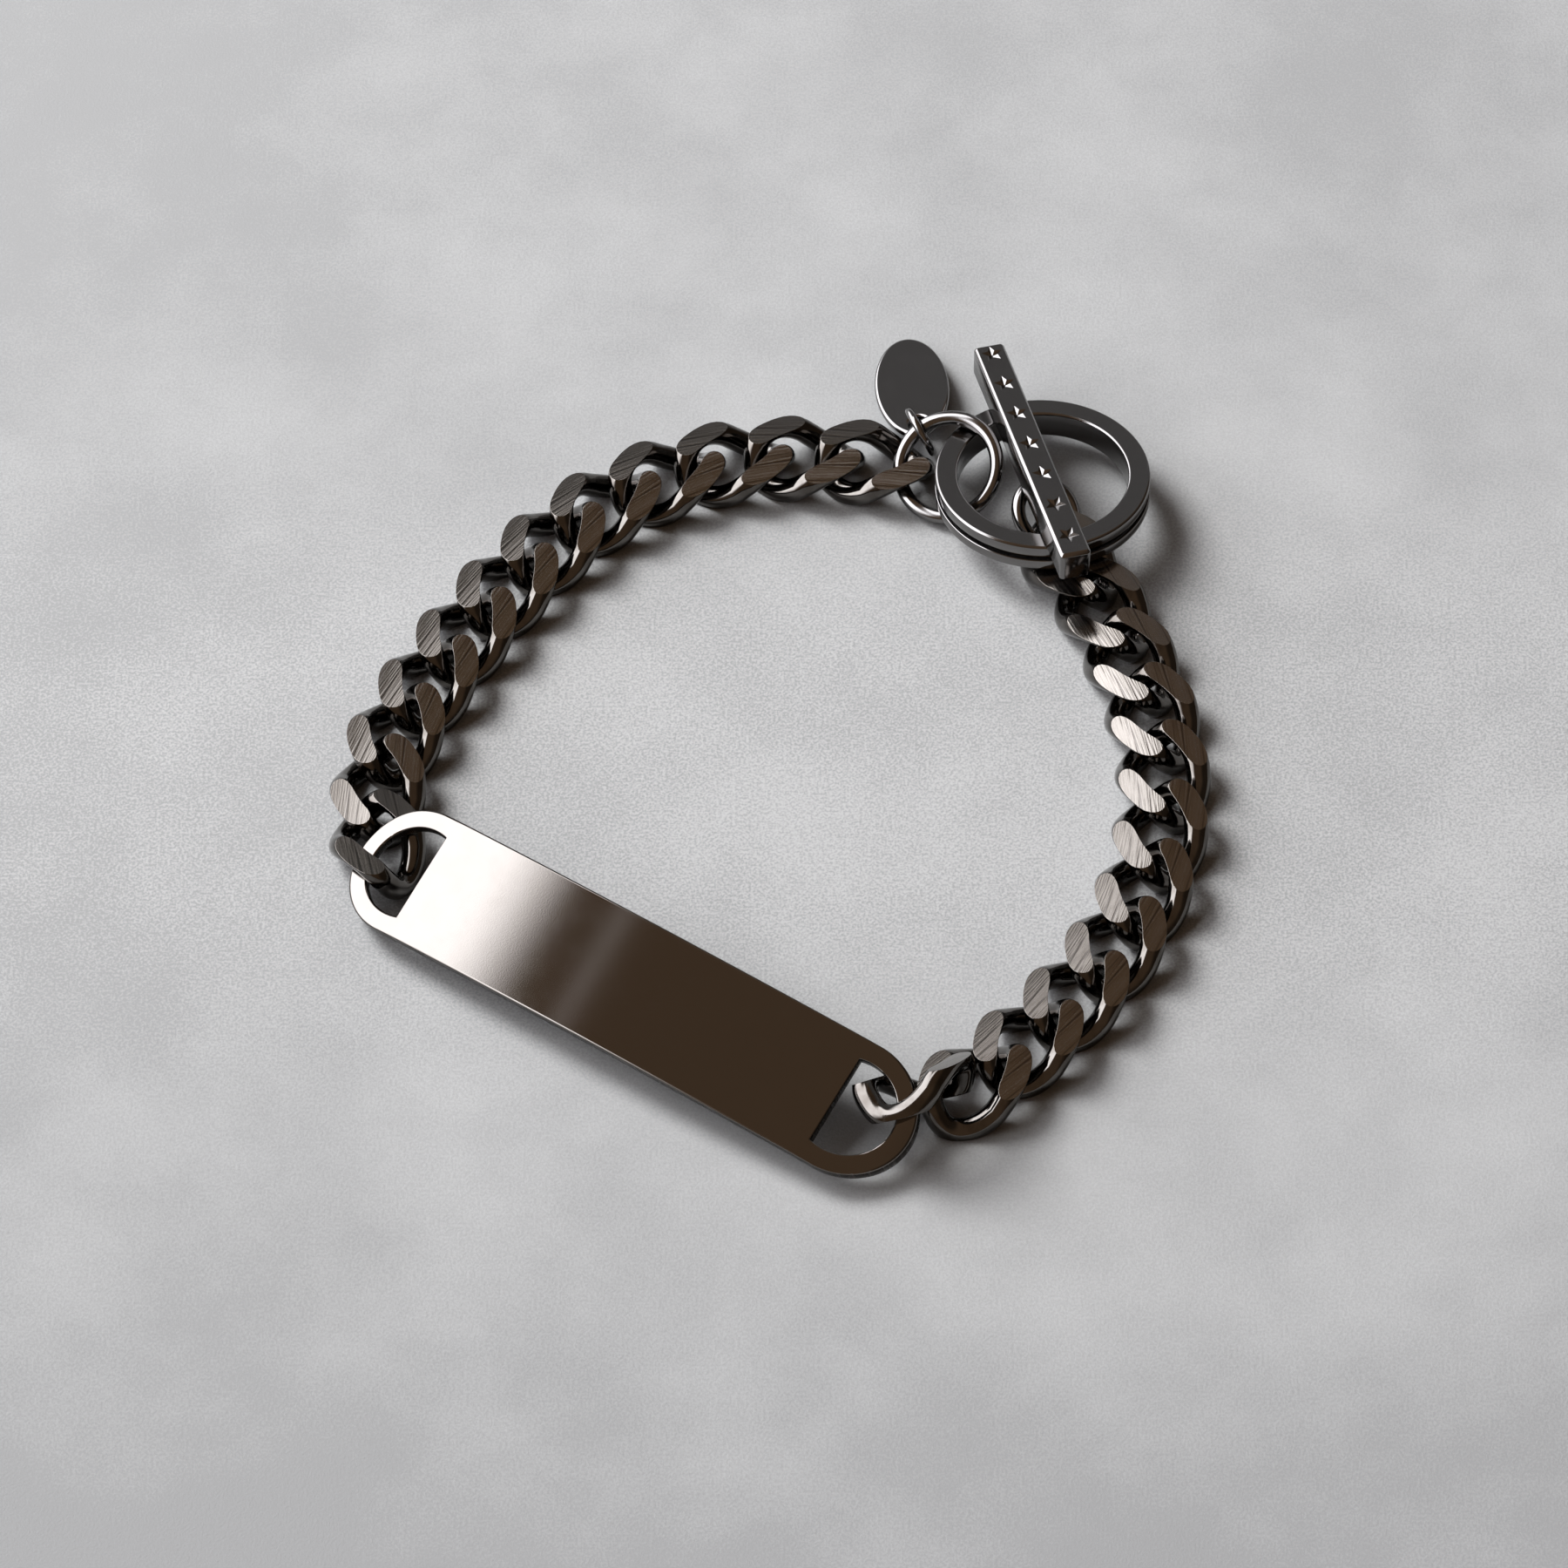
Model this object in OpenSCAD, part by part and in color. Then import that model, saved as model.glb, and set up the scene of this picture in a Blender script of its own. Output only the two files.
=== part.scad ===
// Curb-chain identity bracelet lying closed on a surface: a polished plate, two runs of
// ground curb links, a toggle ring and bar, three jump rings and an oval tag.

/* [Chain] */
// Diameter of the wire that the links are bent from
wire_d = 1.75; // [1.65:0.05:1.8]
// Distance from one link to the next along the chain
link_pitch = 5.2; // [5.1:0.05:5.4]
// Width over a link before it is ground
link_w = 6.9; // [6.8:0.05:7.1]
// Play between the bows of two links
link_play = 0.3; // [0.25:0.05:0.4]
// Turn of a link's end bow out of its own plane
link_twist = 52; // [50:1:56]
// Height over the ground faces of a link, at the ridge
ground_h = 2.9; // [2.85:0.05:2.95]
// Slope of each top ground face away from the ridge
roof_slope = 7; // [0:1:9]

/* [Plate] */
// Width of the plate
plate_w = 9.6; // [9.2:0.1:10]
// Distance between the straight sides of the two slots
slot_span = 34.6; // [34:0.1:35]
// Metal between a slot's round side and the plate's end
slot_rim = 1.4; // [1.3:0.05:1.5]
// Thickness of the plate
plate_t = 1.0; // [0.9:0.05:1.1]
// Radius of the arch along the middle of the plate
arch_r = 250; // [200:10:400]
// Radius of the down-turned ends
end_r = 18; // [16:1:24]

/* [Toggle] */
// Outer diameter of the toggle ring
ring_od = 15.7; // [15.5:0.1:15.8]
// Inner diameter of the toggle ring
ring_id = 12.5; // [12.3:0.1:12.6]
// Thickness of the toggle ring
ring_t = 2.2; // [2:0.1:2.4]
// Width of the groove round the toggle ring
groove_w = 0.5; // [0.3:0.05:0.7]
// Depth of the groove round the toggle ring
groove_d = 0.5; // [0.3:0.05:0.7]
// Length of the toggle bar
bar_l = 22.9; // [22.4:0.1:23.2]
// Width of the toggle bar
bar_w = 2.3; // [2.2:0.05:2.4]
// Height of the toggle bar
bar_h = 2.35; // [2.2:0.05:2.4]
// Bevel along the toggle bar's edges
bar_bevel = 0.2; // [0.15:0.05:0.3]
// Number of stars cut into the toggle bar
star_count = 7; // [5:1:7]
// Distance from one star to the next
star_step = 3.29; // [3.2:0.01:3.3]
// Distance of the middle star from the bar's middle, away from the bar's near end
star_shift = 0.5; // [0.4:0.05:0.55]
// Diameter over the points of a star
star_d = 1.5; // [1.2:0.05:1.6]
// Depth of a star
star_depth = 0.35; // [0.2:0.05:0.5]
// Inner diameter of the eye under the toggle bar
eye_id = 1.7; // [1.6:0.05:2]
// Wire of the eye under the toggle bar
eye_wire = 0.8; // [0.7:0.05:0.9]
// Distance of the eye from the bar's middle
eye_shift = 0.5; // [0.4:0.05:0.6]

/* [Jump rings and tag] */
// Outer diameter of the ring that joins the chain, the toggle ring and the tag
big_jump_od = 8.5; // [8.4:0.1:8.6]
// Wire of that ring
big_jump_wire = 1.05; // [0.95:0.05:1.1]
// Outer diameter of the ring that joins the chain and the toggle bar
bar_jump_od = 5.8; // [5.7:0.1:6]
// Wire of that ring
bar_jump_wire = 1.05; // [0.95:0.05:1.1]
// Outer diameter of the tag's ring
tag_jump_od = 4.1; // [4:0.05:4.2]
// Wire of the tag's ring
tag_jump_wire = 0.6; // [0.55:0.05:0.65]
// Length of the oval tag
tag_l = 10.5; // [10.2:0.1:10.8]
// Width of the oval tag
tag_w = 5.5; // [5.2:0.1:5.8]
// Thickness of the oval tag
tag_t = 0.6; // [0.5:0.05:0.65]
// Diameter of the tag's hole
tag_hole = 1.4; // [1.35:0.05:1.5]
// Distance of the hole's middle from the tag's end
hole_inset = 1.15; // [1.1:0.05:1.4]

/* [Hidden] */
$fn = 64;

// Layout, in millimetres and degrees: x to the right, y away from the plate, z up. The whole
// is shifted by its box's middle. Each run of links starts at a point and turns at every link.
middle = [-0.98, 3.07];
run_a_start = [-29.09, -4.25];
run_a_headings = [85, 69, 61, 59, 54, 49, 37, 24, 10, -2, -8];
run_b_start = [11.2, -28.9];
run_b_headings = [41, 46, 52, 61, 71, 80, 92, 101, 109, 114, 119];

// The two links that hold the plate stand off the surface: centre and turns about x, y and z
end_a_place = [-28.7, -6.8, 1.82];
end_a_turns = [6.9, 6.4, 100.4];
end_b_place = [9.105, -28.829, 3.374];
end_b_turns = [-49.7, 8.1, 25.9];

plate_place = [-11.1, -20.76, 4.41];
plate_turn = -33.3;
plate_roll = 20;

ring_place = [18.88, 25.1, 3.27];
ring_near_up = 6.6;
bar_place = [18.01, 25.27, 4.506];
bar_turn = -75;
big_jump_place = [12.04, 27.23, 2.57];
big_jump_turns = [25.2, -20.4, 0];
bar_jump_place = [19.17, 22.92, 2.39];
bar_jump_turns = [17.3, 29, 0];
tag_place = [9.54, 35.95, 0.87];
tag_turns = [-9.37, 7.55, 96.15];
tag_jump_place = [10.07, 30.55, 2.64];
tag_jump_turns = [109.9, 7.1, -64.3];

// Sizes of a link
stations = 16;
wire_sides = 6;
bow_reach = (link_pitch + link_play + wire_d) / 2;
side_reach = (link_w - wire_d) / 2;
// Distance from a slot's straight side to the middle of its round side
slot_inset = 0.9;
// A six-sided wire of the round wire's own section area
wire_r = wire_d / 2 * sqrt(PI / (1.5 * sqrt(3)));
ridge_depth = 0.6;
// Height of a link's centre line over its ground bottom
bottom_h = ground_h - wire_d / 2 - ridge_depth;
// How square a link's centre line is along, across and in its turn, where 1 is a plain oval
bow_power = 0.8;
side_power = 0.75;
turn_power = 0.7;

// Small details of the clasp and the tag
ring_edge = 0.15;
star_waist = 0.45;
tag_sides = 48;

gunmetal = [0.30, 0.28, 0.26];
dark_steel = [0.26, 0.26, 0.27];

function heading(v) = [cos(v), sin(v)];
function sum_to(headings, k) = k < 0 ? [0, 0] : heading(headings[k]) + sum_to(headings, k - 1);
function link_centre(start, headings, k) =
    start + link_pitch * (sum_to(headings, k - 1) + heading(headings[k]) / 2);
function two_digits(n) = n < 10 ? str("0", n) : str(n);
names_a = [for (k = [0 : len(run_a_headings) - 1]) str("link_a", two_digits(k + 2))];
names_b = [for (k = [0 : len(run_b_headings) - 1]) str("link_b", two_digits(k + 2))];

// Centre line of a link: a squarish oval whose plane turns from one bow to the other
function power(v, n) = sign(v) * pow(abs(v), n);
function link_turn(t) = -link_twist * power(cos(t), turn_power);
function link_line(t) = let (turn = link_turn(t), reach = side_reach * power(sin(t), side_power))
    [bow_reach * power(cos(t), bow_power), reach * cos(turn), reach * sin(turn)];
function unit(v) = v / norm(v);
function link_forward(t) = unit(link_line(t + 4) - link_line(t - 4));
function link_outward(t) = unit(cross(link_forward(t), [0, -sin(link_turn(t)), cos(link_turn(t))]));

module link_wire() {
    points = [
        for (k = [0 : stations - 1]) let (
            t = 360 * (k + 0.5) / stations,
            out = link_outward(t),
            side = cross(link_forward(t), out)
        ) for (j = [0 : wire_sides - 1]) let (v = 360 * (j + 0.5) / wire_sides)
            link_line(t) + wire_r * (cos(v) * out + sin(v) * side)
    ];
    function at(k, j) = (k % stations) * wire_sides + j % wire_sides;
    faces = [
        for (k = [0 : stations - 1]) for (j = [0 : wire_sides - 1]) each [
            [at(k, j), at(k + 1, j), at(k + 1, j + 1)],
            [at(k, j), at(k + 1, j + 1), at(k, j + 1)]
        ]
    ];
    polyhedron(points, faces);
}

// One link along x, ground flat below and to a low roof above, its centre line's middle at the origin
module curb_link() {
    half_w = link_w;
    color(gunmetal)
    intersection() {
        link_wire();
        rotate([90, 0, 90])
        linear_extrude(height = 4 * bow_reach, center = true)
        polygon([
            [-half_w, -bottom_h],
            [half_w, -bottom_h],
            [half_w, ground_h - bottom_h - half_w * tan(roof_slope)],
            [0, ground_h - bottom_h],
            [-half_w, ground_h - bottom_h - half_w * tan(roof_slope)]
        ]);
    }
}

// Puts a piece at a place in the layout
module lay(place, turns = [0, 0, 0]) {
    translate([place.x - middle.x, place.y - middle.y, place.z])
    rotate(turns)
    children();
}

module link_in_run(start, headings, k) {
    centre = link_centre(start, headings, k);
    lay([centre.x, centre.y, bottom_h], [0, 0, headings[k]]) curb_link();
}

module plate_outline() {
    end_x = slot_span / 2 + slot_inset;
    slot_r = plate_w / 2 - slot_rim;
    difference() {
        union() {
            square([2 * end_x, plate_w], center = true);
            for (s = [-1, 1]) translate([s * end_x, 0]) circle(d = plate_w);
        }
        for (s = [0, 1]) mirror([s, 0])
        intersection() {
            translate([end_x, 0]) circle(r = slot_r);
            translate([slot_span / 2, -plate_w]) square([plate_w, 2 * plate_w]);
        }
    }
}

module arch_band(r) {
    difference() {
        circle(r = r, $fn = 360);
        circle(r = r - plate_t, $fn = 360);
    }
}

// Side view of the plate: a shallow arch whose ends turn down
module plate_profile() {
    bend_x = slot_span / 2 - 1;
    bend = asin(bend_x / arch_r);
    far = 60;
    intersection() {
        translate([0, -arch_r]) arch_band(arch_r);
        translate([0, -arch_r])
        polygon([[0, 0], [2 * arch_r * sin(bend), 2 * arch_r * cos(bend)],
            [-2 * arch_r * sin(bend), 2 * arch_r * cos(bend)]]);
    }
    for (s = [0, 1]) mirror([s, 0])
    translate([(arch_r - end_r) * sin(bend), (arch_r - end_r) * cos(bend) - arch_r])
    intersection() {
        arch_band(end_r);
        rotate(-bend) square([far, far]);
    }
}

module id_plate() {
    color(gunmetal)
    lay(plate_place)
    rotate([0, 0, plate_turn])
    rotate([plate_roll, 0, 0])
    intersection() {
        linear_extrude(height = 2 * plate_w, center = true) plate_outline();
        rotate([90, 0, 0]) linear_extrude(height = 2 * plate_w, center = true) plate_profile();
    }
}

module toggle_ring() {
    wall = (ring_od - ring_id) / 2;
    edge = ring_edge;
    color(dark_steel)
    lay(ring_place, [-ring_near_up, 0, 0])
    rotate_extrude($fn = 96)
    translate([ring_id / 2, 0])
    difference() {
        polygon([
            [edge, -ring_t / 2], [wall - edge, -ring_t / 2], [wall, -ring_t / 2 + edge],
            [wall, ring_t / 2 - edge], [wall - edge, ring_t / 2], [edge, ring_t / 2],
            [0, ring_t / 2 - edge], [0, -ring_t / 2 + edge]
        ]);
        translate([wall - groove_d, -groove_w / 2]) square([2 * groove_d, groove_w]);
    }
}

module star_outline() {
    outer = star_d / 2;
    inner = outer * star_waist;
    polygon([for (k = [0 : 9]) let (r = k % 2 == 0 ? outer : inner) r * [cos(36 * k), sin(36 * k)]]);
}

// The bar lies along x on the toggle ring's top face, z = 0
module bar_blank() {
    b = bar_bevel;
    intersection() {
        rotate([90, 0, 90])
        linear_extrude(height = bar_l, center = true)
        polygon([
            [-bar_w / 2, 0], [bar_w / 2, 0], [bar_w / 2, bar_h - b], [bar_w / 2 - b, bar_h],
            [-bar_w / 2 + b, bar_h], [-bar_w / 2, bar_h - b]
        ]);
        rotate([90, 0, 0])
        linear_extrude(height = 2 * bar_w, center = true)
        polygon([
            [-bar_l / 2, 0], [bar_l / 2, 0], [bar_l / 2, bar_h - b], [bar_l / 2 - b, bar_h],
            [-bar_l / 2 + b, bar_h], [-bar_l / 2, bar_h - b]
        ]);
    }
}

module toggle_bar() {
    color(dark_steel)
    lay(bar_place, [-ring_near_up, 0, 0])
    rotate([0, 0, bar_turn])
    difference() {
        union() {
            bar_blank();
            translate([eye_shift, 0, -eye_id / 2])
            rotate([90, 0, 0])
            rotate_extrude() translate([(eye_id + eye_wire) / 2, 0]) circle(d = eye_wire);
        }
        for (k = [0 : star_count - 1])
            translate([(k - (star_count - 1) / 2) * star_step - star_shift, 0, bar_h - star_depth])
            linear_extrude(height = bar_h) star_outline();
    }
}

module jump_ring(od, wire) {
    rotate_extrude() translate([(od - wire) / 2, 0]) circle(d = wire);
}

module big_jump_ring() {
    color(dark_steel)
    lay(big_jump_place, big_jump_turns)
    jump_ring(big_jump_od, big_jump_wire);
}

module bar_jump_ring() {
    color(dark_steel)
    lay(bar_jump_place, bar_jump_turns)
    jump_ring(bar_jump_od, bar_jump_wire);
}

module tag_jump_ring() {
    color(dark_steel)
    lay(tag_jump_place, tag_jump_turns)
    jump_ring(tag_jump_od, tag_jump_wire);
}

module tag() {
    color(dark_steel)
    lay(tag_place, tag_turns)
    linear_extrude(height = tag_t)
    difference() {
        polygon([
            for (k = [0 : tag_sides - 1]) let (v = 360 * k / tag_sides)
                [tag_l / 2 * cos(v), tag_w / 2 * sin(v)]
        ]);
        translate([hole_inset - tag_l / 2, 0]) circle(d = tag_hole);
    }
}

id_plate();
lay(end_a_place, end_a_turns) curb_link();  // link_a01
for (k = [0 : len(names_a) - 1])
    link_in_run(run_a_start, run_a_headings, k);
lay(end_b_place, end_b_turns) curb_link();  // link_b01
for (k = [0 : len(names_b) - 1])
    link_in_run(run_b_start, run_b_headings, k);
toggle_ring();
toggle_bar();
big_jump_ring();
bar_jump_ring();
tag_jump_ring();
tag();
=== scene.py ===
"""Looks of the curb-chain identity bracelet: its pieces, finishes, floor, light and camera."""
import logging
import math
from abc import ABC, abstractmethod
from dataclasses import dataclass, field
from enum import Enum
from typing import Any, Iterable, Union

import bmesh
import bpy
from bmesh.types import BMEdge, BMesh, BMFace, BMVert
from mathutils import Euler, Matrix, Vector


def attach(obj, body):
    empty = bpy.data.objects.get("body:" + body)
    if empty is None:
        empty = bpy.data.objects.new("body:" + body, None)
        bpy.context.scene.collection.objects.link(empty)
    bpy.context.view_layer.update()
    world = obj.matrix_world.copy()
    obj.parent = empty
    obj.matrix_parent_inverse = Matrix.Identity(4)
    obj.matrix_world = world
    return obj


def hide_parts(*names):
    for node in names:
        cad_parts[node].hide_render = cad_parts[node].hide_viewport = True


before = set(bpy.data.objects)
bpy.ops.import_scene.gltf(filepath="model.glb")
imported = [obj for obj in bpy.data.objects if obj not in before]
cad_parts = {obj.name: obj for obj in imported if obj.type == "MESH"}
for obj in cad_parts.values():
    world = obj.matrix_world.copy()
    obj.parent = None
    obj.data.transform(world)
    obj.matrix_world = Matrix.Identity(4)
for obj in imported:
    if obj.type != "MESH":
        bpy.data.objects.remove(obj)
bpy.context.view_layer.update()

log = logging.getLogger("bracelet")

# Metres in a millimetre, and the point of the layout that becomes the frame's origin.
MM = 0.001
MIDDLE = Vector((-0.98, 3.07, 0.0))

# Distances in millimetres within which points count as one or as on a plane.
TIGHT = 1e-6
NEAR = 1e-5
LOOSE = 1e-4

# Attributes that the pieces carry and the finishes read.
LOCAL = "local"
# Marks the links' ground flats, and the plate's walls, which get painted shade.
GROUND_OR_SHADE = "ground"

# Sockets of a colour Mix node, by number, because its names also belong to other sockets.
MIX_AMOUNT = 0
MIX_LOW = 6
MIX_HIGH = 7
MIXED = 2

NOISE_ROUGHNESS = 0.6

# The upward part of a face's normal past which the face counts as level.
LEVEL = 0.9999

Colour = tuple[float, float, float, float]
Triple = tuple[float, float, float]
Span = tuple[float, float]


class Slot(Enum):
    """Material slots that the pieces carry."""

    CHAIN = "gunmetal_chain"
    POLISHED = "gunmetal_polished"


@dataclass(frozen=True)
class Place:
    """Where a piece lies in the layout, in millimetres and degrees."""

    x: float
    y: float
    z: float
    turns: Triple = (0.0, 0.0, 0.0)
    own_turn: float = 0.0

    def matrix(self) -> Matrix:
        """Turns and moves a piece from its own millimetres to metres in the row frame.

        Returns:
            The piece's own turn about z, its turns about x, y and z, its shift and its scale.
        """
        own = Matrix.Rotation(math.radians(self.own_turn), 4, "Z")
        turn = Euler([math.radians(a) for a in self.turns], "XYZ").to_matrix().to_4x4()
        shift = Matrix.Translation(Vector((self.x, self.y, self.z)) - MIDDLE)
        return Matrix.Scale(MM, 4) @ shift @ turn @ own


@dataclass(frozen=True)
class Signal:
    """A shader socket that Python's operators work on, each of which adds a Math node."""

    board: "NodeBoard"
    socket: bpy.types.NodeSocket | None

    def _math(self, operation: str, *values: "Number") -> "Signal":
        """Adds one Math node.

        Args:
            operation: The Math node's operation.
            values: Its inputs in order.

        Returns:
            The node's result.
        """
        return self.board.add("ShaderNodeMath", {"operation": operation}, dict(enumerate(values)))

    def __add__(self, other: "Number") -> "Signal":
        """Returns self + other."""
        return self._math("ADD", self, other)

    def __radd__(self, other: "Number") -> "Signal":
        """Returns other + self."""
        return self._math("ADD", other, self)

    def __sub__(self, other: "Number") -> "Signal":
        """Returns self - other."""
        return self._math("SUBTRACT", self, other)

    def __rsub__(self, other: "Number") -> "Signal":
        """Returns other - self."""
        return self._math("SUBTRACT", other, self)

    def __mul__(self, other: "Number") -> "Signal":
        """Returns self * other."""
        return self._math("MULTIPLY", self, other)

    def __rmul__(self, other: "Number") -> "Signal":
        """Returns other * self."""
        return self._math("MULTIPLY", other, self)

    def __abs__(self) -> "Signal":
        """Returns self without its sign."""
        return self._math("ABSOLUTE", self)

    def step(self, low: float, high: float) -> "Signal":
        """Eases from 0 at low to 1 at high.

        Args:
            low: The value below which the result is 0.
            high: The value above which the result is 1.

        Returns:
            The eased value.
        """
        values = {"Value": self, "From Min": low, "From Max": high}
        return self.board.add("ShaderNodeMapRange", {"interpolation_type": "SMOOTHSTEP"}, values)


Number = Union[float, Signal]


@dataclass
class NodeBoard:
    """One node tree, and the single way in which nodes are added to it."""

    tree: bpy.types.NodeTree

    def add(
        self, kind: str, settings: dict[str, Any], inputs: dict[Any, Any], output: Any = 0
    ) -> Signal:
        """Adds a node, sets it up and fills its sockets.

        Args:
            kind: The node's type.
            settings: Properties, set before the sockets.
            inputs: Socket name or number to a value or a signal.
            output: Name or number of the output that is returned.

        Returns:
            The chosen output, with no socket for a node that ends the tree.
        """
        node = self.tree.nodes.new(kind)
        for key, value in settings.items():
            setattr(node, key, value)
        for key, value in inputs.items():
            if isinstance(value, Signal):
                self.tree.links.new(value.socket, node.inputs[key])
            else:
                node.inputs[key].default_value = value
        return Signal(self, node.outputs[output] if node.outputs else None)

    def blend(self, amount: Number, low: Any, high: Any) -> Signal:
        """Mixes two colours.

        Args:
            amount: 0 for low, 1 for high.
            low: Colour or signal.
            high: Colour or signal.

        Returns:
            The mixed colour.
        """
        inputs = {MIX_AMOUNT: amount, MIX_LOW: low, MIX_HIGH: high}
        return self.add("ShaderNodeMix", {"data_type": "RGBA"}, inputs, MIXED)

    def attribute(self, name: str, output: str) -> Signal:
        """Reads one of a piece's own attributes.

        Args:
            name: The attribute's name.
            output: "Vector" or "Fac".

        Returns:
            Its value.
        """
        return self.add("ShaderNodeAttribute", {"attribute_name": name}, {}, output)

    def axis(self, vector: Signal, name: str) -> Signal:
        """Takes one axis out of a vector.

        Args:
            vector: The vector.
            name: "X", "Y" or "Z".

        Returns:
            The vector's part along that axis.
        """
        return self.add("ShaderNodeSeparateXYZ", {}, {"Vector": vector}, name)

    def along(self, vector: Signal, direction: Triple) -> Signal:
        """Measures a vector along a fixed direction.

        Args:
            vector: The vector.
            direction: The direction to measure along.

        Returns:
            Their dot product.
        """
        dot = {"operation": "DOT_PRODUCT"}
        return self.add("ShaderNodeVectorMath", dot, {0: vector, 1: direction}, "Value")

    def bump(self, height: Signal, strength: float, distance: float) -> Signal:
        """Turns a height into a bumped normal.

        Args:
            height: The height.
            strength: How strongly it shows.
            distance: Metres per unit of the height.

        Returns:
            The normal.
        """
        inputs = {"Strength": strength, "Distance": distance, "Height": height}
        return self.add("ShaderNodeBump", {}, inputs, "Normal")

    def noise(self, vector: Signal, scale: float, detail: float) -> Signal:
        """Adds a noise pattern.

        Args:
            vector: Where the pattern is read.
            scale: Waves per unit of the vector.
            detail: Octaves.

        Returns:
            The pattern's value, around 0.5.
        """
        inputs = {"Vector": vector, "Scale": scale, "Detail": detail, "Roughness": NOISE_ROUGHNESS}
        return self.add("ShaderNodeTexNoise", {}, inputs, "Fac")

    def stretched(self, vector: Signal, turn: float, scale: Triple) -> Signal:
        """Turns a vector about z and then stretches it.

        Args:
            vector: The vector to map.
            turn: Degrees about z.
            scale: Factors along x, y and z.

        Returns:
            The mapped vector.
        """
        turned = self.add(
            "ShaderNodeVectorRotate",
            {"rotation_type": "Z_AXIS"},
            {"Vector": vector, "Angle": math.radians(turn)},
        )
        return self.add("ShaderNodeVectorMath", {"operation": "MULTIPLY"}, {0: turned, 1: scale})


class Finish(ABC):
    """A surface finish that can be laid on pieces."""

    name: str

    def material(self) -> bpy.types.Material:
        """Makes the finish's material, or finds it when it exists.

        Returns:
            The material.
        """
        found = bpy.data.materials.get(self.name)
        if found is not None:
            return found
        made = bpy.data.materials.new(self.name)
        made.use_nodes = True
        made.node_tree.nodes.clear()
        board = NodeBoard(made.node_tree)
        surface = self.surface(board)
        board.add("ShaderNodeOutputMaterial", {}, {"Surface": surface})
        return made

    @abstractmethod
    def surface(self, board: NodeBoard) -> Signal:
        """Builds the finish's shader.

        Args:
            board: The material's nodes.

        Returns:
            The shader.
        """


@dataclass(frozen=True)
class PlatedMetal(Finish):
    """Dark plated metal, polished, brush-lined where ground, with painted shade on the plate's walls.
    """

    name: str
    colour: Colour
    deep_colour: Colour
    ground_or_shade_colour: Colour
    polish: float
    ground_rough: float
    brush_turn: float
    brush_depth: float
    flat_middle: float
    flat_bulge: float
    scuff: float
    tarnish: float
    line_stretch: Triple = (0.05, 4.2, 0.05)
    line_share: float = 0.55
    stroke_stretch: Triple = (0.08, 8.0, 0.08)
    stroke_turn: float = 4.0
    brush_detail: float = 1.5
    smear_scale: float = 0.55
    speck_scale: float = 9.0
    dirt_detail: float = 3.0
    tarnish_span: Span = (0.35, 0.7)
    worn_or_shaded_span: Span = (0.36, 0.5)
    least_worn_or_shaded: float = 0.1
    brush_span: Span = (0.4, 0.62)
    brush_rough: float = 0.1
    smear_span: Span = (0.45, 0.75)
    speck_span: Span = (0.62, 0.8)
    speck_height: float = 0.0006

    def brush(self, board: NodeBoard, local: Signal, turn: float, stretch: Triple) -> Signal:
        """Draws brush lines in one direction.

        Args:
            board: The material's nodes.
            local: The piece's own place, in millimetres.
            turn: Degrees from the direction of the piece's length.
            stretch: Lines per millimetre along x, y and z.

        Returns:
            The lines, around 0.5.
        """
        return board.noise(board.stretched(local, turn, stretch), 1.0, self.brush_detail)

    def surface(self, board: NodeBoard) -> Signal:
        """Builds the plated metal.

        Args:
            board: The material's nodes.

        Returns:
            The shader.
        """
        local = board.attribute(LOCAL, "Vector")
        ground = board.attribute(GROUND_OR_SHADE, "Fac")
        lines = self.brush(board, local, self.brush_turn, self.line_stretch)
        strokes = self.brush(board, local, self.brush_turn + self.stroke_turn, self.stroke_stretch)
        brushed = lines * self.line_share + strokes * (1 - self.line_share)
        smears = board.noise(local, self.smear_scale, self.dirt_detail)
        specks = board.noise(local, self.speck_scale, self.dirt_detail)
        dull = smears.step(*self.tarnish_span) * self.tarnish
        plated = board.blend(dull, self.colour, self.deep_colour)
        lined = brushed.step(*self.worn_or_shaded_span) * (1 - self.least_worn_or_shaded)
        # On the plate the marked faces are its walls, and this blend to their dark colour is painted
        # shade.
        worn_or_shaded = ground * (self.least_worn_or_shaded + lined)
        colour = board.blend(worn_or_shaded, plated, self.ground_or_shade_colour)
        rough = (
            ground * (self.ground_rough - self.polish)
            + ground * brushed.step(*self.brush_span) * self.brush_rough
            + smears.step(*self.smear_span) * self.scuff
            + specks.step(*self.speck_span) * self.scuff
            + self.polish
        )
        across = abs(board.axis(local, "Y")) - self.flat_middle
        height = ground * (brushed * self.brush_depth - across * across * self.flat_bulge)
        normal = board.bump(height + specks * self.speck_height, 1.0, MM)
        inputs = {"Base Color": colour, "Metallic": 1.0, "Roughness": rough, "Normal": normal}
        return board.add("ShaderNodeBsdfPrincipled", {}, inputs)


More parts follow.
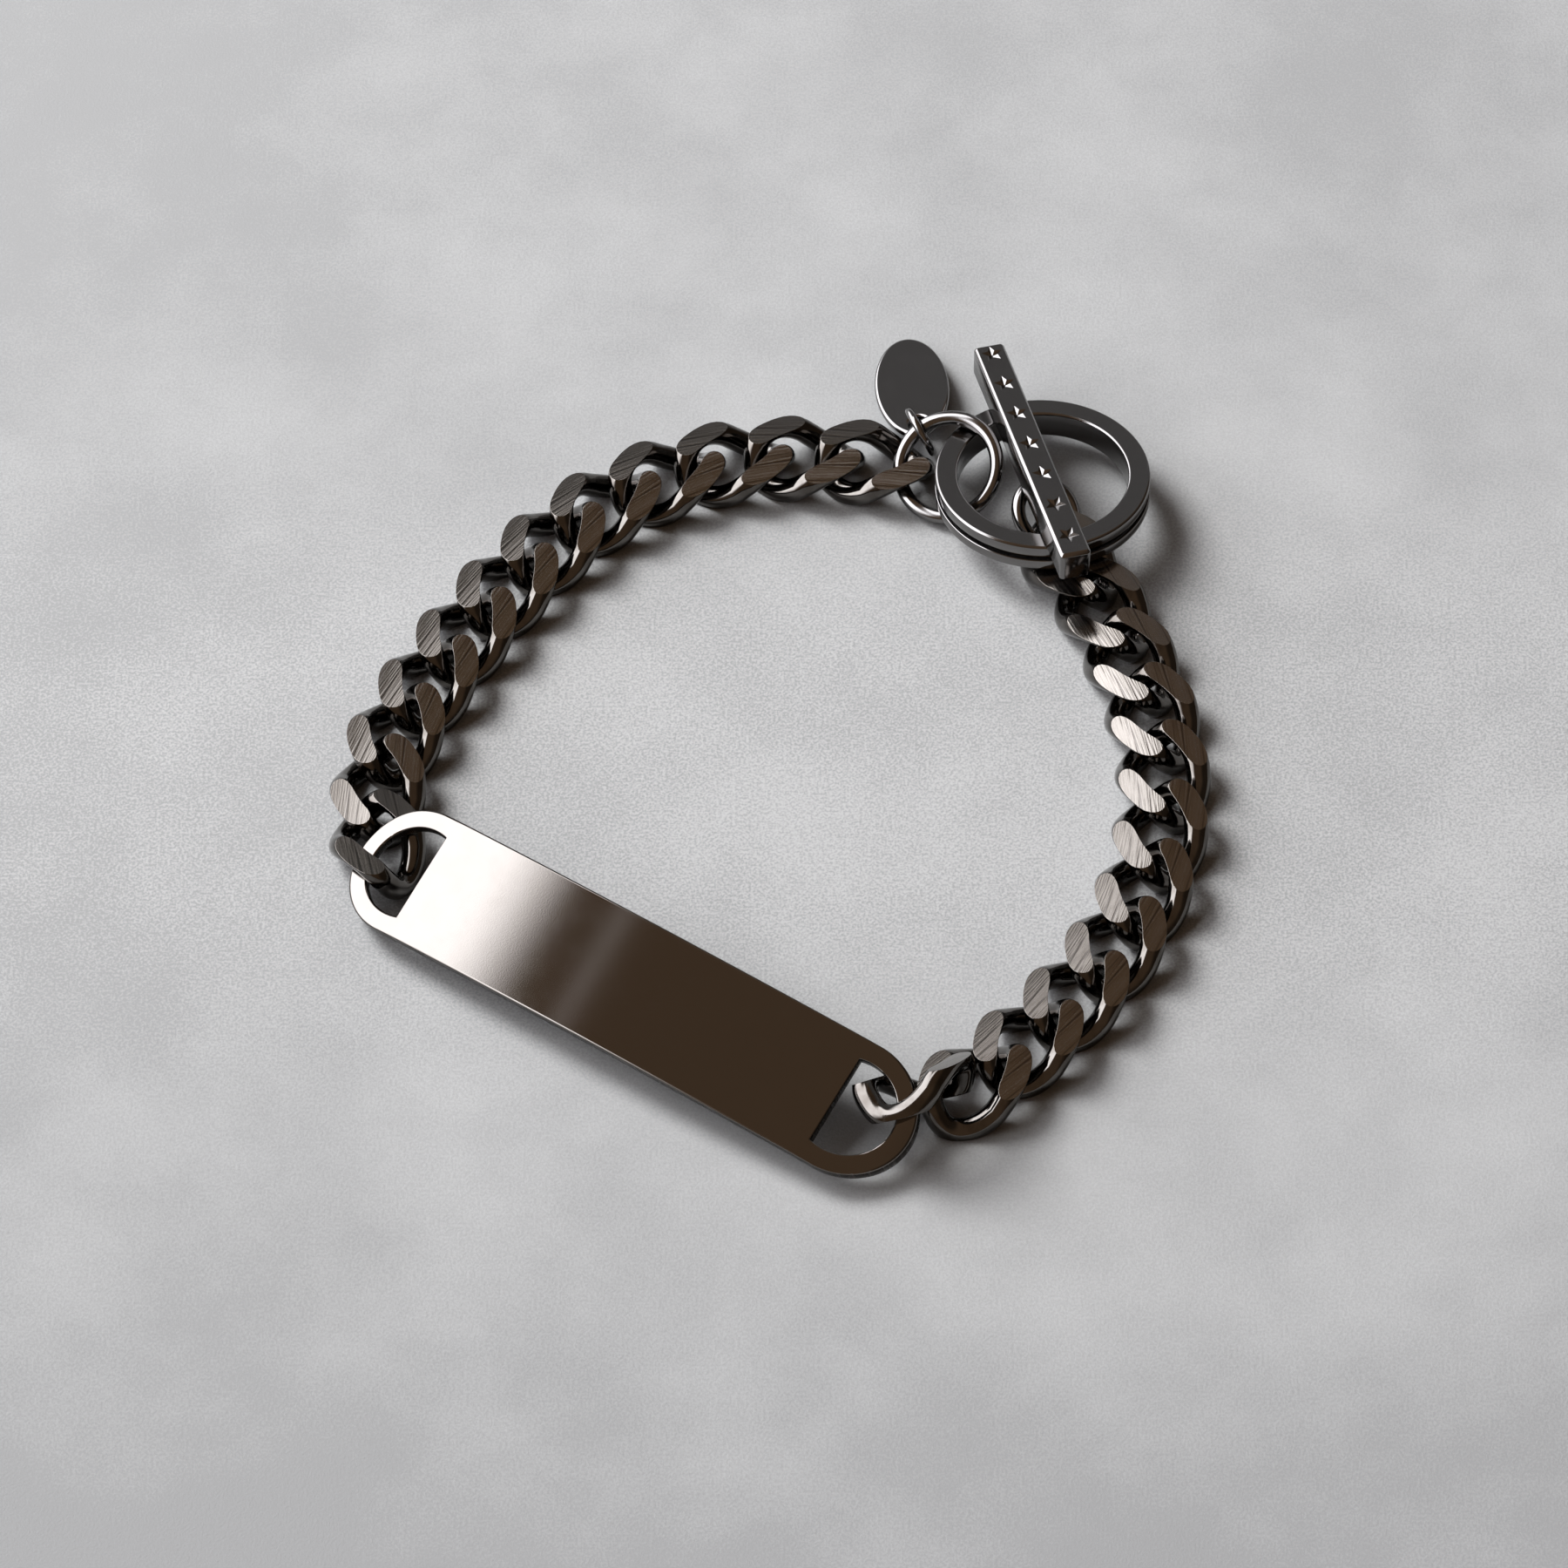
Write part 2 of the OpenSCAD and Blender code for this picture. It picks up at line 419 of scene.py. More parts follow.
@dataclass(frozen=True)
class PaleSurface(Finish):
    """The pale, softly mottled surface that the bracelet lies on, in metres."""

    name: str
    light_colour: Colour
    dark_colour: Colour
    cloud_scale: float = 55.0
    cloud_detail: float = 5.0
    cloud_span: Span = (0.25, 0.75)
    cloud_share: float = 0.5
    grain_scale: float = 5200.0
    grain_detail: float = 2.0
    grain_span: Span = (0.3, 0.7)
    grain_share: float = 0.35
    crisp_share: float = 0.75
    crisp_near: Span = (-0.034, -0.012)
    crisp_far: Span = (0.006, 0.032)
    # Painted shade: where and how much the colour darkens across the surface.
    near_span: Span = (-0.09, -0.03)
    near_share: float = 0.68
    far_span: Span = (0.0, 0.08)
    far_share: float = 0.3
    left_span: Span = (-0.055, 0.0)
    left_share: float = 0.3
    fall_to_right: float = 0.4
    level: float = -0.705
    grain_strength: float = 0.25
    grain_height: float = 0.00008
    rough: float = 0.75
    sheen: float = 0.2

    def shade(self, x: Signal, y: Signal) -> Signal:
        """Paints shade into the colour: darker at the near edge, far off, at the left edge and to the
        right.

        Args:
            x: Place across the picture.
            y: Place away from the camera.

        Returns:
            What is added to the share of the light colour.
        """
        lighter = y.step(*self.near_span) * self.near_share
        darker = y.step(*self.far_span) * self.far_share
        sides = x.step(*self.left_span) * self.left_share - x * self.fall_to_right
        return lighter - darker + sides + self.level

    def surface(self, board: NodeBoard) -> Signal:
        """Builds the pale surface.

        Args:
            board: The material's nodes.

        Returns:
            The shader.
        """
        place = board.add("ShaderNodeTexCoord", {}, {}, "Object")
        clouds = board.noise(place, self.cloud_scale, self.cloud_detail)
        grain = board.noise(place, self.grain_scale, self.grain_detail)
        y = board.axis(place, "Y")
        crisp = y.step(*self.crisp_near) * (1 - y.step(*self.crisp_far))
        grained = (grain.step(*self.grain_span) - 0.5) * (crisp * self.crisp_share + self.grain_share)
        mottle = clouds.step(*self.cloud_span) * self.cloud_share + grained
        # The mottle, with painted shade added.
        light = mottle + self.shade(board.axis(place, "X"), y)
        inputs = {
            "Base Color": board.blend(light, self.dark_colour, self.light_colour),
            "Roughness": self.rough,
            "Specular IOR Level": self.sheen,
            "Normal": board.bump(grain, self.grain_strength, self.grain_height),
        }
        return board.add("ShaderNodeBsdfPrincipled", {}, inputs)


class Finishes(Enum):
    """The finishes of this bracelet and its floor."""

    CHAIN = PlatedMetal(
        name="brushed_gunmetal",
        colour=(0.12, 0.112, 0.104, 1.0),
        deep_colour=(0.06, 0.052, 0.045, 1.0),
        ground_or_shade_colour=(0.196, 0.182, 0.166, 1.0),
        polish=0.08,
        ground_rough=0.11,
        brush_turn=-4.0,
        brush_depth=0.018,
        flat_middle=2.2,
        flat_bulge=0.014,
        scuff=0.035,
        tarnish=0.7,
    )
    PLATE = PlatedMetal(
        name="mirror_gunmetal",
        colour=(0.165, 0.154, 0.143, 1.0),
        deep_colour=(0.153, 0.141, 0.129, 1.0),
        # Painted shade: the dark colour of the plate's side and slot walls.
        ground_or_shade_colour=(0.05, 0.045, 0.04, 1.0),
        polish=0.055,
        ground_rough=0.25,
        brush_turn=0.0,
        brush_depth=0.0,
        flat_middle=0.0,
        flat_bulge=0.0,
        scuff=0.015,
        tarnish=0.3,
    )
    CLASP = PlatedMetal(
        name="polished_gunmetal",
        colour=(0.185, 0.179, 0.176, 1.0),
        deep_colour=(0.15, 0.145, 0.142, 1.0),
        ground_or_shade_colour=(0.185, 0.179, 0.176, 1.0),
        polish=0.12,
        ground_rough=0.2,
        brush_turn=0.0,
        brush_depth=0.003,
        flat_middle=0.0,
        flat_bulge=0.0,
        scuff=0.04,
        tarnish=0.35,
    )
    FLOOR = PaleSurface(
        name="pale_mottled_surface",
        light_colour=(0.213, 0.216, 0.216, 1.0),
        dark_colour=(0.143, 0.145, 0.146, 1.0),
    )


def put_in_scene(name: str, data: bpy.types.ID) -> bpy.types.Object:
    """Makes an object and links it to the scene.

    Args:
        name: The object's name.
        data: Its mesh, lamp or camera.

    Returns:
        The object.
    """
    made = bpy.data.objects.new(name, data)
    bpy.context.scene.collection.objects.link(made)
    return made


def verts_of(geometry: Iterable[Any]) -> list[BMVert]:
    """Picks the vertices out of mixed mesh elements.

    Args:
        geometry: Vertices, edges and faces.

    Returns:
        The vertices.
    """
    return [item for item in geometry if isinstance(item, BMVert)]


def edges_of(geometry: Iterable[Any]) -> list[BMEdge]:
    """Picks the edges out of mixed mesh elements.

    Args:
        geometry: Vertices, edges and faces.

    Returns:
        The edges.
    """
    return [item for item in geometry if isinstance(item, BMEdge)]


def faces_of(geometry: Iterable[Any]) -> list[BMFace]:
    """Picks the faces out of mixed mesh elements.

    Args:
        geometry: Vertices, edges and faces.

    Returns:
        The faces.
    """
    return [item for item in geometry if isinstance(item, BMFace)]


def each_once(items: Iterable[Any]) -> list[Any]:
    """Lists mesh elements without repeats, in their own order, which a set would shuffle.

    Args:
        items: The elements, some of them more than once.

    Returns:
        The elements in the order in which they first come.
    """
    return list(dict.fromkeys(items))


def edges_at(verts: Iterable[BMVert]) -> list[BMEdge]:
    """Finds the edges that end at any of the vertices.

    Args:
        verts: The vertices.

    Returns:
        The edges, each once.
    """
    return each_once(edge for vert in verts for edge in vert.link_edges)


def sharp_edges(bm: BMesh, degrees: float = 60.0) -> list[BMEdge]:
    """Finds the edges where the mesh folds sharply.

    Args:
        bm: The mesh.
        degrees: The fold that an edge must pass.

    Returns:
        The edges.
    """
    return [edge for edge in bm.edges if edge.calc_face_angle(0.0) > math.radians(degrees)]


def cut_mesh(
    bm: BMesh, point: Iterable[float], normal: Iterable[float], near: float, clear: bool = False
) -> list[BMEdge]:
    """Cuts a whole mesh along a plane.

    Args:
        bm: The mesh.
        point: A point of the plane.
        normal: The plane's normal.
        near: Distance within which a vertex counts as on the plane.
        clear: Whether what lies on the normal's side is removed.

    Returns:
        The edges along the cut.
    """
    cut = bmesh.ops.bisect_plane(
        bm,
        geom=bm.verts[:] + bm.edges[:] + bm.faces[:],
        dist=near,
        plane_co=point,
        plane_no=normal,
        clear_outer=clear,
    )
    return edges_of(cut["geom_cut"])


def shade_smooth(bm: BMesh) -> None:
    """Shades every face of a mesh smooth."""
    for face in bm.faces:
        face.smooth = True


def crease_level_faces(bm: BMesh) -> None:
    """Shades a mesh smooth but for the outlines of its level faces, so that these look flat.

    Args:
        bm: The mesh.
    """
    shade_smooth(bm)
    for edge in bm.edges:
        level = [abs(face.normal.z) > LEVEL for face in edge.link_faces]
        edge.smooth = all(level) or not any(level)


def soften(bm: BMesh, edges: list[BMEdge], offset: float, segments: int) -> None:
    """Rounds or chamfers edges.

    Args:
        bm: The mesh, in millimetres.
        edges: The edges to soften.
        offset: Distance from the edge, in millimetres.
        segments: Number of segments across.
    """
    bmesh.ops.bevel(
        bm,
        geom=edges,
        offset=offset,
        offset_type="OFFSET",
        segments=segments,
        profile=0.5,
        affect="EDGES",
        clamp_overlap=True,
        material=-1,
    )


def spin_ring(bm: BMesh, wire_r: float, ring_r: float, sides: int, steps: int) -> None:
    """Spins a round wire into a ring about z.

    Args:
        bm: The mesh that gets the ring.
        wire_r: Radius of the wire.
        ring_r: Radius of the wire's centre line.
        sides: Sides of the wire.
        steps: Steps round the ring.
    """
    upright = Matrix.Translation((ring_r, 0, 0)) @ Matrix.Rotation(math.pi / 2, 4, "X")
    section = bmesh.ops.create_circle(bm, segments=sides, radius=wire_r, matrix=upright)
    spin_section(bm, section["verts"], steps)


def spin_section(bm: BMesh, verts: list[BMVert], steps: int) -> None:
    """Spins a closed section all the way round z.

    Args:
        bm: The mesh.
        verts: The section's vertices.
        steps: Steps round.
    """
    bmesh.ops.spin(
        bm,
        geom=verts + edges_at(verts),
        cent=(0, 0, 0),
        axis=(0, 0, 1),
        angle=2 * math.pi,
        steps=steps,
        use_merge=True,
    )
    bmesh.ops.remove_doubles(bm, verts=bm.verts, dist=NEAR)
    bmesh.ops.recalc_face_normals(bm, faces=bm.faces)


@dataclass
class Piece(ABC):
    """A piece of the bracelet that stands for one CAD node, in millimetres and degrees."""

    name: str
    node: str
    place: Place
    finish: Finishes
    slot: Slot

    @abstractmethod
    def shape(self, bm: BMesh) -> None:
        """Models the piece in its own millimetres.

        Args:
            bm: An empty mesh with the piece's attributes.
        """

    def make(self) -> bpy.types.Object:
        """Models, places and dresses the piece.

        Returns:
            The piece's object.
        """
        bm = bmesh.new()
        local = bm.verts.layers.float_vector.new(LOCAL)
        bm.faces.layers.float.new(GROUND_OR_SHADE)
        self.shape(bm)
        for vert in bm.verts:
            vert[local] = vert.co
        bmesh.ops.transform(bm, matrix=self.place.matrix(), verts=bm.verts)
        mesh = bpy.data.meshes.new(self.name)
        bm.to_mesh(mesh)
        bm.free()
        mesh.materials.append(self.finish.value.material())
        piece = put_in_scene(self.name, mesh)
        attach(piece, "root")
        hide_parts(self.node)
        return piece


@dataclass
class CurbLink(Piece):
    """One curb link: a twisted oval wire ring, ground flat below and to a low roof above."""

    wire_d: float = 1.75
    pitch: float = 5.2
    width: float = 6.9
    play: float = 0.3
    twist: float = 52.0
    ground_h: float = 2.9
    roof_slope: float = 7.0
    ridge_depth: float = 0.6
    edge: float = 0.045
    bow_power: float = 0.8
    reach_power: float = 0.75
    turn_power: float = 0.7
    ahead: float = 4.0
    sliver: float = 0.012
    plain_r: float = 4.0
    sides: int = 20
    stations: int = 90
    flat_corners: int = 8

    @staticmethod
    def power(value: float, exponent: float) -> float:
        """Returns the value's size raised to the exponent, with the value's sign."""
        return math.copysign(abs(value) ** exponent, value)

    def turn(self, t: float) -> float:
        """Returns the turn of the link's plane at angle t, in radians."""
        return -math.radians(self.twist) * self.power(math.cos(t), self.turn_power)

    def line(self, t: float) -> Vector:
        """Finds a point of the wire's centre line.

        Args:
            t: Angle round the link, in radians.

        Returns:
            The point, in millimetres.
        """
        half_length = (self.pitch + self.play + self.wire_d) / 2
        half_width = (self.width - self.wire_d) / 2
        bow = half_length * self.power(math.cos(t), self.bow_power)
        reach = half_width * self.power(math.sin(t), self.reach_power)
        turn = self.turn(t)
        return Vector((bow, reach * math.cos(turn), reach * math.sin(turn)))

    def carry(self, t: float, out_by: float, up_by: float) -> Vector:
        """Moves a point of the plain ring's section to the link.

        Args:
            t: Angle round the link, in radians.
            out_by: Distance outward from the centre line.
            up_by: Distance up from the centre line.

        Returns:
            The point on the link's wire.
        """
        ahead = math.radians(self.ahead)
        forward = (self.line(t + ahead) - self.line(t - ahead)).normalized()
        turn = self.turn(t)
        out = forward.cross(Vector((0, -math.sin(turn), math.cos(turn)))).normalized()
        up = out.cross(forward)
        return self.line(t) + out_by * out + up_by * up

    def grind(self, bm: BMesh, point: Vector, normal: Vector) -> None:
        """Grinds the link flat along one plane.

        Args:
            bm: The link's mesh.
            point: A point of the plane.
            normal: The plane's normal, towards what is ground off.
        """
        bmesh.ops.holes_fill(bm, edges=cut_mesh(bm, point, normal, LOOSE, clear=True), sides=0)

    def mark_flats(self, bm: BMesh) -> list[BMEdge]:
        """Marks the ground faces, which have the most corners.

        Args:
            bm: The link's mesh.

        Returns:
            The outlines of the ground faces.
        """
        ground = bm.faces.layers.float[GROUND_OR_SHADE]
        flats = [face for face in bm.faces if len(face.verts) > self.flat_corners]
        for face in flats:
            face[ground] = 1.0
        return each_once(edge for face in flats for edge in face.edges)

    def shape(self, bm: BMesh) -> None:
        """Models the link with its centre at the origin and its length along x.

        Args:
            bm: An empty mesh with the piece's attributes.
        """
        spin_ring(bm, self.wire_d / 2, self.plain_r, self.sides, self.stations)
        for vert in bm.verts:
            t = math.atan2(vert.co.y, vert.co.x)
            vert.co = self.carry(t, math.hypot(vert.co.x, vert.co.y) - self.plain_r, vert.co.z)
        bmesh.ops.recalc_face_normals(bm, faces=bm.faces)
        bottom = self.ground_h - self.wire_d / 2 - self.ridge_depth
        ridge = Vector((0, 0, self.ground_h - bottom))
        slope = math.radians(self.roof_slope)
        self.grind(bm, Vector((0, 0, -bottom)), Vector((0, 0, -1)))
        for side in (-1, 1):
            self.grind(bm, ridge, Vector((0, side * math.sin(slope), math.cos(slope))))
        bmesh.ops.dissolve_degenerate(bm, dist=self.sliver, edges=bm.edges)
        soften(bm, self.mark_flats(bm), self.edge, 2)
        shade_smooth(bm)
        for edge in self.mark_flats(bm):
            edge.smooth = False


@dataclass
class IdentityPlate(Piece):
    """The arched plate with its two D-shaped slots."""

    width: float = 9.6
    slot_span: float = 34.6
    slot_inset: float = 0.9
    slot_rim: float = 1.4
    thick: float = 1.0
    arch_r: float = 250.0
    end_r: float = 18.0
    end_bend: float = 1.0
    edge: float = 0.16
    end_sides: int = 96
    slot_sides: int = 72
    first_cut: float = 0.25
    long_step: float = 1.0
    short_step: float = 0.3
    short_stretch: float = 2.5
    steep: float = 0.5

    @property
    def end_x(self) -> float:
        """Returns the place along the plate of the round ends' centres."""
        return self.slot_span / 2 + self.slot_inset

    def outline(self, bm: BMesh) -> list[BMEdge]:
        """Draws the plate's outer outline.

        Args:
            bm: The plate's mesh.

        Returns:
            The outline's edges.
        """
        half_step = Matrix.Rotation(math.pi / self.end_sides, 4, "Z")
        verts = bmesh.ops.create_circle(
            bm, segments=self.end_sides, radius=self.width / 2, matrix=half_step
        )["verts"]
        for vert in verts:
            vert.co.x += math.copysign(self.end_x, vert.co.x)
        return edges_at(verts)

    def slot_edges(self, bm: BMesh, side: int) -> list[BMEdge]:
        """Draws the outline of one slot, round outside and straight towards the middle.

        Args:
            bm: The plate's mesh.
            side: -1 for the left slot and 1 for the right one.

        Returns:
            The slot's edges.
        """
        verts = bmesh.ops.create_circle(
            bm,
            cap_ends=True,
            segments=self.slot_sides,
            radius=self.width / 2 - self.slot_rim,
            matrix=Matrix.Translation((side * self.end_x, 0, 0)),
        )["verts"]
        faces = each_once(face for vert in verts for face in vert.link_faces)
        cut = bmesh.ops.bisect_plane(
            bm,
            geom=verts + edges_at(verts) + faces,
            dist=LOOSE,
            plane_co=(side * self.slot_span / 2, 0, 0),
            plane_no=(-side, 0, 0),
            clear_outer=True,
        )
        kept = faces_of(cut["geom"])
        rim = each_once(edge for face in kept for edge in face.edges)
        bmesh.ops.delete(bm, geom=kept, context="FACES_ONLY")
        return rim

    def arch(self, x: float, sink: float) -> float:
        """Finds the height of the plate's top or bottom over a place along it.

        Args:
            x: Place along the plate.
            sink: 0 for the top and the thickness for the bottom.

        Returns:
            The height.
        """
        bend = math.asin((self.slot_span / 2 - self.end_bend) / self.arch_r)
        radius = self.arch_r - sink
        if abs(x) <= radius * math.sin(bend):
            return math.sqrt(radius**2 - x**2) - self.arch_r
        centre_x = (self.arch_r - self.end_r) * math.sin(bend)
        centre_z = (self.arch_r - self.end_r) * math.cos(bend) - self.arch_r
        return centre_z + math.sqrt((self.end_r - sink) ** 2 - (abs(x) - centre_x) ** 2)

    def cross_cuts(self, bm: BMesh) -> None:
        """Cuts the plate across, closest at its ends, so that it can bend.

        Args:
            bm: The plate's mesh.
        """
        place = self.first_cut
        while place < self.end_x + self.width / 2:
            for side in (-1, 1):
                cut_mesh(bm, (side * place, 0, 0), (1, 0, 0), NEAR)
            inner = place < self.slot_span / 2 - self.short_stretch
            place += self.long_step if inner else self.short_step

    def shape(self, bm: BMesh) -> None:
        """Models the plate with its length along x and its arch's top at the origin.

        Args:
            bm: An empty mesh with the piece's attributes.
        """
        rims = self.outline(bm) + self.slot_edges(bm, -1) + self.slot_edges(bm, 1)
        bmesh.ops.triangle_fill(bm, edges=rims, use_beauty=True, use_dissolve=False)
        bmesh.ops.recalc_face_normals(bm, faces=bm.faces)
        if bm.faces[:][0].normal.z < 0:
            bmesh.ops.reverse_faces(bm, faces=bm.faces)
        lower = bmesh.ops.extrude_face_region(bm, geom=bm.faces[:], use_keep_orig=True)["geom"]
        bmesh.ops.translate(bm, vec=(0, 0, -self.thick), verts=verts_of(lower))
        bmesh.ops.recalc_face_normals(bm, faces=bm.faces)
        rims = [e for e in sharp_edges(bm) if abs(e.verts[0].co.z - e.verts[1].co.z) < TIGHT]
        soften(bm, rims, self.edge, 3)
        self.cross_cuts(bm)
        # Painted shade: the steep side and slot walls are marked for the plate finish's dark colour.
        ground = bm.faces.layers.float[GROUND_OR_SHADE]
        for face in bm.faces:
            if abs(face.normal.z) < self.steep:
                face[ground] = 1.0
        crease_level_faces(bm)
        for vert in bm.verts:
            top = self.arch(vert.co.x, 0.0)
            bottom = self.arch(vert.co.x, self.thick)
            vert.co.z = top + vert.co.z * (top - bottom) / self.thick


@dataclass
class ToggleRing(Piece):
    """The toggle's ring, square in section with a groove round its outside."""

    outer_d: float = 15.7
    inner_d: float = 12.5
    thick: float = 2.2
    groove_w: float = 0.5
    groove_d: float = 0.5
    edge: float = 0.17
    lip: float = 0.05
    steps: int = 144

    def shape(self, bm: BMesh) -> None:
        """Models the ring about z with its middle at the origin.

        Args:
            bm: An empty mesh with the piece's attributes.
        """
        wall = (self.outer_d - self.inner_d) / 2
        middle_r = (self.outer_d + self.inner_d) / 4
        corner = math.sqrt(2) / 2
        upright = (
            Matrix.Translation((middle_r, 0, 0))
            @ Matrix.Diagonal((wall, 1.0, self.thick, 1.0))
            @ Matrix.Rotation(math.pi / 2, 4, "X")
            @ Matrix.Rotation(math.pi / 4, 4, "Z")
        )
        section = bmesh.ops.create_circle(bm, segments=4, radius=corner, matrix=upright)
        spin_section(bm, section["verts"], self.steps)
        soften(bm, sharp_edges(bm), self.edge, 3)
        for height in (-self.groove_w / 2, self.groove_w / 2):
            cut_mesh(bm, (0, 0, height), (0, 0, 1), NEAR)
        band = [
            face
            for face in bm.faces
            if abs(face.calc_center_median().z) < self.groove_w / 2
            and face.calc_center_median().xy.length > middle_r
        ]
        bmesh.ops.inset_region(
            bm, faces=band, thickness=0.0, depth=-self.groove_d, use_even_offset=True
        )
        bmesh.ops.recalc_face_normals(bm, faces=bm.faces)
        soften(bm, sharp_edges(bm), self.lip, 2)
        crease_level_faces(bm)


@dataclass
class ToggleBar(Piece):
    """The toggle's bar with its pressed stars, and the eye soldered under it."""

    length: float = 22.9
    width: float = 2.3
    height: float = 2.35
    bevel: float = 0.2
    corner: float = 0.3
    edge: float = 0.07
    slightest_fold: float = 30.0
    star_count: int = 7
    star_d: float = 1.6
    star_waist: float = 0.5
    star_depth: float = 0.24
    star_floor: float = 0.12
    star_step: float = 3.29
    star_shift: float = -0.5
    eye_id: float = 1.7
    eye_wire: float = 0.8
    eye_shift: float = 0.5
    eye_overlap: float = 0.1
    eye_sides: int = 16
    eye_steps: int = 64

    def star(self, bm: BMesh, x: float) -> list[BMEdge]:
        """Draws one star's outline on the bar's top.

        Args:
            bm: The bar's mesh.
            x: Place of the star along the bar.

        Returns:
            The star's edges.
        """
        turned = Matrix.Rotation(-math.pi / 2, 4, "Z")
        verts = bmesh.ops.create_circle(
            bm, segments=10, radius=self.star_d / 2, matrix=turned
        )["verts"]
        bmesh.ops.scale(bm, vec=(self.star_waist, self.star_waist, 1), verts=verts[1::2])
        bmesh.ops.translate(bm, vec=(x, 0, self.height), verts=verts)
        return edges_at(verts)

    def press(self, bm: BMesh, edges: list[BMEdge], x: float) -> list[BMFace]:
        """Presses one star into the bar, as a cone with a small flat floor.

        Args:
            bm: The bar's mesh.
            edges: The star's outline.
            x: Place of the star along the bar.

        Returns:
            The star's faces.
        """
        sunk = bmesh.ops.extrude_edge_only(bm, edges=edges)["geom"]
        verts = verts_of(sunk)
        about = Matrix.Translation((-x, 0, 0))
        bmesh.ops.translate(bm, vec=(0, 0, -self.star_depth), verts=verts)
        bmesh.ops.scale(bm, vec=(self.star_floor, self.star_floor, 1), verts=verts, space=about)
        rim = [edge for edge in edges_of(sunk) if all(vert in verts for vert in edge.verts)]
        return faces_of(sunk) + bmesh.ops.holes_fill(bm, edges=rim, sides=0)["faces"]

    def eye(self, bm: BMesh) -> None:
        """Adds the eye under the bar, cut off inside the bar.

        Args:
            bm: The bar's mesh.
        """
        ring = bmesh.new()
        ring_r = (self.eye_id + self.eye_wire) / 2
        spin_ring(ring, self.eye_wire / 2, ring_r, self.eye_sides, self.eye_steps)
        upright = Matrix.Rotation(math.pi / 2, 4, "X")
        shift = Matrix.Translation((self.eye_shift, 0, -self.eye_id / 2))
        bmesh.ops.transform(ring, matrix=shift @ upright, verts=ring.verts)
        rims = cut_mesh(ring, (0, 0, self.eye_overlap), (0, 0, 1), 0.0, clear=True)
        bmesh.ops.holes_fill(ring, edges=rims, sides=0)
        shade_smooth(ring)
        held = bpy.data.meshes.new("eye")
        ring.to_mesh(held)
        ring.free()
        bm.from_mesh(held)
        bpy.data.meshes.remove(held)

    def shape(self, bm: BMesh) -> None:
        """Models the bar along x with its underside at z = 0.

        Args:
            bm: An empty mesh with the piece's attributes.
        """
        size = Matrix.Diagonal((self.length, self.width, self.height, 1.0))
        lift = Matrix.Translation((0, 0, self.height / 2))
        bmesh.ops.create_cube(bm, size=1.0, matrix=lift @ size)
        half = self.height / 2
        upright = [e for e in bm.edges if abs(e.verts[0].co.z - e.verts[1].co.z) > half]
        soften(bm, upright, self.corner, 3)
        top = [e for e in bm.edges if all(v.co.z > self.height - TIGHT for v in e.verts)]
        soften(bm, top, self.bevel, 1)
        soften(bm, sharp_edges(bm, self.slightest_fold), self.edge, 3)
        roof = max(bm.faces, key=lambda face: face.calc_center_median().z)
        rim = list(roof.edges)
        for edge in rim:
            edge.smooth = False
        bmesh.ops.delete(bm, geom=[roof], context="FACES_ONLY")
        middle = (self.star_count - 1) / 2
        places = [(k - middle) * self.star_step + self.star_shift for k in range(self.star_count)]
        stars = [self.star(bm, x) for x in places]
        outlines = [edge for star in stars for edge in star]
        filled = bmesh.ops.triangle_fill(bm, edges=rim + outlines, use_beauty=True)
        flat = set(faces_of(filled["geom"]))
        for star, x in zip(stars, places):
            flat.update(self.press(bm, star, x))
        bmesh.ops.recalc_face_normals(bm, faces=bm.faces)
        for face in bm.faces:
            face.smooth = face not in flat
        self.eye(bm)


@dataclass
class JumpRing(Piece):
    """A closed ring of round wire."""

    outer_d: float
    wire: float
    sides: int = 24
    steps: int = 96

    def shape(self, bm: BMesh) -> None:
        """Models the ring about z with its middle at the origin.

        Args:
            bm: An empty mesh with the piece's attributes.
        """
        ring_r = (self.outer_d - self.wire) / 2
        spin_ring(bm, self.wire / 2, ring_r, self.sides, self.steps)
        shade_smooth(bm)


@dataclass
class OvalTag(Piece):
    """The bare oval tag with its hole."""

    length: float = 10.5
    width: float = 5.5
    thick: float = 0.6
    hole_d: float = 1.4
    hole_inset: float = 1.15
    edge: float = 0.24
    rim_sides: int = 120
    hole_sides: int = 40
    level_fold: float = 0.5

    def shape(self, bm: BMesh) -> None:
        """Models the tag along x with its underside at z = 0.

        Args:
            bm: An empty mesh with the piece's attributes.
        """
        oval = Matrix.Diagonal((self.length / 2, self.width / 2, 1.0, 1.0))
        rim = bmesh.ops.create_circle(bm, segments=self.rim_sides, radius=1.0, matrix=oval)
        shift = Matrix.Translation((self.hole_inset - self.length / 2, 0, 0))
        hole = bmesh.ops.create_circle(
            bm, segments=self.hole_sides, radius=self.hole_d / 2, matrix=shift
        )
        # Filled from the last edge back, the tag leaves more room for the rim's rounding.
        edges = edges_at(rim["verts"] + hole["verts"])[::-1]
        bmesh.ops.triangle_fill(bm, edges=edges, use_beauty=True)
        # Wide faces leave room for it too.
        level = math.radians(self.level_fold)
        bmesh.ops.dissolve_limit(bm, angle_limit=level, verts=bm.verts[:], edges=bm.edges[:])
        upper = bmesh.ops.extrude_face_region(bm, geom=bm.faces[:], use_keep_orig=True)["geom"]
        bmesh.ops.translate(bm, vec=(0, 0, self.thick), verts=verts_of(upper))
        bmesh.ops.recalc_face_normals(bm, faces=bm.faces)
        soften(bm, sharp_edges(bm), self.edge, 3)
        crease_level_faces(bm)


